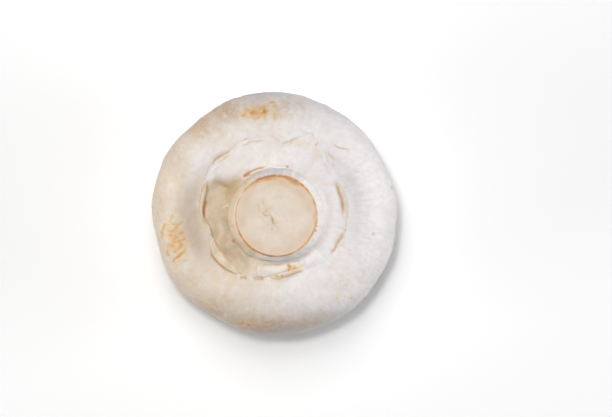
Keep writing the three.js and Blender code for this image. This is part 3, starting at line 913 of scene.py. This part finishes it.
class Shader:
    """The nodes of a material or a world, added one at a time."""

    def __init__(self, name, kind="materials", surface="Principled BSDF"):
        self.owner = getattr(bpy.data, kind).new(name)
        self.owner.use_nodes = True
        self.tree = self.owner.node_tree
        self.surface = self.tree.nodes[surface].inputs

    def node(self, kind, **settings):
        made = self.tree.nodes.new(kind)
        for key, value in settings.items():
            setattr(made, key, value)
        return made

    def join(self, source, target):
        self.tree.links.new(source, target)

    def mark(self, name, part="Fac"):
        """What add_mark() gave each point."""
        return self.node("ShaderNodeAttribute", attribute_name=name).outputs[part]

    def camera_ray(self):
        """1 where the camera looks, and 0 for the light on the mushroom."""
        return self.node("ShaderNodeLightPath").outputs["Is Camera Ray"]

    def noise(self, scale, detail=4.0, rough=0.6, where=None):
        """Noise with about that many waves in a metre."""
        made = self.node("ShaderNodeTexNoise")
        made.inputs["Scale"].default_value = scale
        made.inputs["Detail"].default_value = detail
        made.inputs["Roughness"].default_value = rough
        where = where or self.node("ShaderNodeTexCoord").outputs["Object"]
        self.join(where, made.inputs["Vector"])
        return made.outputs["Fac"]

    def streaks(self, scale, detail=5.0, rough=0.7):
        """Noise drawn out along the fibres, with about that many waves in a millimetre."""
        return self.noise(scale, detail, rough, self.mark("grain", "Vector"))

    def fit(self, value, low, high, most=1.0, least=0.0):
        """The least where the value is low, the most where it is high, smooth between them."""
        made = self.node("ShaderNodeMapRange", interpolation_type="SMOOTHSTEP")
        for socket, number in zip(made.inputs[1:5], (low, high, least, most)):
            socket.default_value = number
        self.join(value, made.inputs["Value"])
        return made.outputs["Result"]

    def sums(self, operation, a, b):
        made = self.node("ShaderNodeMath", operation=operation)
        self.join(a, made.inputs[0])
        self.join(b, made.inputs[1])
        return made.outputs[0]

    def blend(self, share, a, b):
        """a where the share is 0, and b where it is 1. Each is a colour or comes from a node."""
        made = self.node("ShaderNodeMix", data_type="RGBA")
        colour_a, colour_b = made.inputs[6:8]
        self.join(share, made.inputs["Factor"])
        for socket, value in ((colour_a, a), (colour_b, b)):
            if isinstance(value, tuple):
                socket.default_value = (*value, 1)
            else:
                self.join(value, socket)
        return made.outputs[2]

    def ramp(self, value, colours):
        """Four colours, at the values 0, 0.35, 0.7 and 1."""
        made = self.node("ShaderNodeValToRGB")
        elements = made.color_ramp.elements
        elements.new(0.35)
        elements.new(0.7)
        for element, colour in zip(elements, colours):
            element.color = (*colour, 1)
        self.join(value, made.inputs[0])
        return made.outputs[0]

    def bumps(self, layers):
        """Bumps from layers: (noise, height in millimetres, strength)."""
        normal = None
        for noise, height, strength in layers:
            made = self.node("ShaderNodeBump")
            made.inputs["Strength"].default_value = strength
            made.inputs["Distance"].default_value = height * MM
            self.join(noise, made.inputs["Height"])
            if normal:
                self.join(normal, made.inputs["Normal"])
            normal = made.outputs["Normal"]
        return normal

    def finish(self, colour, normal, roughness):
        """Soft matte flesh of that colour, with a little light under the skin."""
        self.join(colour, self.surface["Base Color"])
        self.join(normal, self.surface["Normal"])
        for name, value in [
            ("Roughness", roughness), ("Specular IOR Level", 0.35), ("Subsurface Weight", 0.12),
            ("Subsurface Radius", (1, 0.7, 0.5)), ("Subsurface Scale", 0.8 * MM),
        ]:
            self.surface[name].default_value = value
        return self.owner


def linear(level):
    """A screen level from 0 to 255 as the linear value that shaders use."""
    level /= 255
    return level / 12.92 if level <= 0.04045 else ((level + 0.055) / 1.055) ** 2.4


def rgb(*levels):
    return tuple(linear(level) for level in levels)


WHITE, CREAM = rgb(242, 239, 240), rgb(236, 222, 198)
WHITE_MOTTLE, CREAM_MOTTLE = rgb(228, 221, 221), rgb(228, 214, 200)
WHITE_BLOTCH, CREAM_BLOTCH = rgb(230, 218, 214), rgb(231, 210, 190)
SKIN_STREAK, BUFF = rgb(220, 208, 200), rgb(208, 179, 150)
# Mauves of painted shade on the cap, the veil and the side of the stem.
PAINTED_SHADE_MAUVE, DARK_PAINTED_SHADE_MAUVE, PALE_PAINTED_SHADE_MAUVE = rgb(204, 188, 177), rgb(176, 154, 138), rgb(206, 194, 188)
# Beige of the sunken veil, partly its own colour and partly painted shade, and olive painted shade
# deep in the hollow.
SUNKEN_BEIGE, DARK_SUNKEN_BEIGE, PAINTED_SHADE_OLIVE = rgb(222, 206, 183), rgb(209, 190, 163), rgb(200, 174, 132)
FRESH, FRESH_SHADE = rgb(240, 232, 224), rgb(230, 218, 206)
DRY, DRY_SHADE = rgb(236, 217, 186), rgb(222, 198, 163)
SIDE, SIDE_CREAM, SIDE_STREAK = rgb(245, 241, 239), rgb(227, 208, 178), rgb(221, 207, 190)
FLESH, FLESH_MOTTLE = rgb(233, 220, 205), rgb(227, 211, 191)
FLESH_SPECK, PEACH = rgb(216, 196, 172), rgb(221, 190, 163)

# Browns from faint to strong, as ramp() places them. Those of torn edges are their own browning,
# darkened further as painted shade where they lie in crevices.
STAINS = [rgb(240, 227, 206), rgb(231, 203, 161), rgb(216, 163, 103), rgb(196, 128, 66)]
TORN_AND_CREVICE_SHADE = [rgb(236, 222, 205), rgb(225, 203, 176), rgb(204, 172, 136), rgb(172, 133, 92)]
RIM = [rgb(239, 224, 206), rgb(229, 200, 168), rgb(213, 163, 113), rgb(182, 129, 80)]


def stained(look, base, mark, colours):
    """The base colour with a mark's browns over it, broken up by fine noise."""
    grit = look.fit(look.noise(1800, 3), 0.35, 0.65, 0.03, -0.03)
    amount = look.sums("ADD", look.mark(mark), grit)
    return look.blend(look.fit(amount, 0.02, 0.6), base, look.ramp(amount, colours))


def pale_skin(look):
    """White to cream, with faint mottling and fine streaks along the fibres."""
    cream = look.mark("cream")
    base = look.blend(cream, WHITE, CREAM)
    mottle = look.fit(look.noise(240, 5), 0.4, 0.68, 0.42)
    base = look.blend(mottle, base, look.blend(cream, WHITE_MOTTLE, CREAM_MOTTLE))
    blotch = look.fit(look.noise(900, 3, 0.5), 0.45, 0.68, 0.42)
    base = look.blend(blotch, base, look.blend(cream, WHITE_BLOTCH, CREAM_BLOTCH))
    return look.blend(look.fit(look.streaks(1.7), 0.42, 0.7, 0.28), base, SKIN_STREAK)


def cap_skin():
    """White silky skin: fine fibres that run from the crown over the margin, faint mottling."""
    look = Shader("mushroom_skin")
    painted_shade = look.mark("painted_shade")
    combed = look.fit(look.streaks(1.6, 6, 0.75), 0.5, 0.68, 0.4)
    # Painted shade in mauve, darker along combed fibres inside it.
    base = look.blend(painted_shade, pale_skin(look), PAINTED_SHADE_MAUVE)
    base = look.blend(look.sums("MULTIPLY", painted_shade, combed), base, DARK_PAINTED_SHADE_MAUVE)
    base = look.blend(look.mark("tint"), base, BUFF)
    base = stained(look, base, "stain", STAINS)
    # Browned tears, with painted shade in their crevices.
    base = stained(look, base, "torn", TORN_AND_CREVICE_SHADE)
    normal = look.bumps([
        (look.noise(850, 3), 0.25, 0.35), (look.streaks(2.2), 0.12, 0.6),
        (look.noise(1700, 4, 0.7), 0.08, 0.5), (look.noise(5200, 2, 0.5), 0.04, 0.4),
    ])
    return look.finish(base, normal, 0.7)


def veil_membrane():
    """Soft cottony membrane, beige in its hollow, partly its own colour and partly painted shade,
    with olive painted shade where it lies deepest.
    """
    look = Shader("mushroom_veil")
    # Painted shade and the stem's painted shadow, in pale mauve.
    base = look.blend(look.mark("painted_shade"), pale_skin(look), PALE_PAINTED_SHADE_MAUVE)
    sunken_colour = look.blend(look.fit(look.noise(330, 3), 0.35, 0.62), SUNKEN_BEIGE, DARK_SUNKEN_BEIGE)
    sunken_colour = look.blend(look.mark("deep"), sunken_colour, PAINTED_SHADE_OLIVE)
    base = look.blend(look.mark("sunk"), base, sunken_colour)
    # Browned tears, with painted shade in their crevices.
    base = stained(look, base, "torn", TORN_AND_CREVICE_SHADE)
    normal = look.bumps([(look.streaks(2), 0.1, 0.5), (look.noise(2300, 5, 0.7), 0.1, 0.7)])
    return look.finish(base, normal, 0.8)


def torn_veil():
    """The dried torn edge of the veil: the older the strip, the more buff it is."""
    look = Shader("mushroom_torn_veil")
    fresh = look.blend(look.fit(look.noise(500), 0.4, 0.62), FRESH, FRESH_SHADE)
    dry = look.blend(look.fit(look.noise(460), 0.4, 0.62), DRY, DRY_SHADE)
    base = look.blend(look.mark("aged"), fresh, dry)
    base = stained(look, base, "stain", STAINS)
    normal = look.bumps([(look.noise(2300, 5, 0.7), 0.1, 0.7)])
    return look.finish(base, normal, 0.8)


def stem_flesh():
    """Pale skin down the side, and creamy cut flesh with a brown rim."""
    look = Shader("mushroom_stem")
    cream = look.mark("cream")
    side = look.blend(cream, SIDE, SIDE_CREAM)
    side = look.blend(look.fit(look.streaks(1.4), 0.42, 0.68, 0.3), side, SIDE_STREAK)
    # Painted shade in pale mauve at the top of the side.
    side = look.blend(look.mark("painted_shade"), side, PALE_PAINTED_SHADE_MAUVE)
    cut = look.blend(look.fit(look.noise(240), 0.38, 0.64), FLESH, FLESH_MOTTLE)
    cut = look.blend(look.fit(look.noise(1100, 5), 0.5, 0.7, 0.35), cut, FLESH_SPECK)
    cut = look.blend(cream, cut, PEACH)
    base = look.blend(look.mark("cut"), side, cut)
    base = stained(look, base, "stain", RIM)
    return look.finish(base, look.bumps([(look.noise(2600, 4, 0.65), 0.08, 0.6)]), 0.65)


# -------- stage

LAMP_DISTANCE = 0.7  # metres from the origin

# Round soft lamps: (name, direction, elevation, size in metres, watts).
LAMPS = [
    ("right", -3, 10, 0.35, 2.4), ("left", 195, 10, 0.35, 2.1), ("behind", 100, 68, 0.3, 1.15),
    ("key", 118, 84, 0.06, 1.3), ("overhead", 112, 82, 0.28, 1.24),
]


def softbox(name, direction, elevation, size, watts):
    """A lamp that looks at the mushroom."""
    lamp = bpy.data.lights.new(name, "AREA")
    lamp.shape = "DISK"
    lamp.size = size
    lamp.energy = watts
    around, up = radians(direction), radians(elevation)
    x, y = cos(around) * cos(up), sin(around) * cos(up)
    made = place(name, lamp)
    made.location = LAMP_DISTANCE * Vector((x, y, sin(up)))
    made.rotation_euler = made.location.to_track_quat("Z", "Y").to_euler()


def paper_floor():
    """A floor that the camera sees as white."""
    half = 1.5  # metres
    mesh = bpy.data.meshes.new("floor")
    corners = [(-half, -half, 0), (half, -half, 0), (half, half, 0), (-half, half, 0)]
    mesh.from_pydata(corners, [], [(0, 1, 2, 3)])
    look = Shader("paper_floor")
    look.surface["Roughness"].default_value = 0.9
    colour = look.blend(look.camera_ray(), (0.8, 0.8, 0.8), (1.06, 1.06, 1.06))
    look.join(colour, look.surface["Base Color"])
    mesh.materials.append(look.owner)
    return place("floor", mesh)


def white_sky():
    """A sky that the camera sees as white, and that gives the mushroom little light."""
    look = Shader("studio", "worlds", "Background")
    look.surface["Color"].default_value = (1, 1, 1, 1)
    strength = look.fit(look.camera_ray(), 0, 1, 1, 0.05)
    look.join(strength, look.surface["Strength"])
    bpy.context.scene.world = look.owner


def stage():
    """The floor, the sky, and soft lamps from both sides, from the top of the view and overhead."""
    floor = paper_floor()
    white_sky()
    for lamp in LAMPS:
        softbox(*lamp)
    bpy.context.scene.view_settings.view_transform = "Standard"


def camera():
    """Straight above, with the mushroom left of the middle."""
    lens, sensor = 250, 36  # millimetres
    seen_width, seen_z = 120.2 * MM, 22 * MM  # how wide the view is, and at what height
    data = bpy.data.cameras.new("camera")
    data.lens, data.sensor_width = lens, sensor
    made = place("camera", data)
    made.location = (6.25 * MM, 0.98 * MM, seen_z + seen_width * lens / sensor)
    bpy.context.scene.camera = made


# -------- assembly

for piece, node, slot, material in [
    (cap(), "cap", "cap_skin", cap_skin()),
    (stem(), "stem", "stem_flesh", stem_flesh()),
    (veil(), "veil", "veil_membrane", veil_membrane()),
    (flaps(), None, "veil_membrane", torn_veil()),
]:
    piece.data.materials.append(material)
    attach(piece, "root")
    if node:
        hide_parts(node)

stage()
camera()
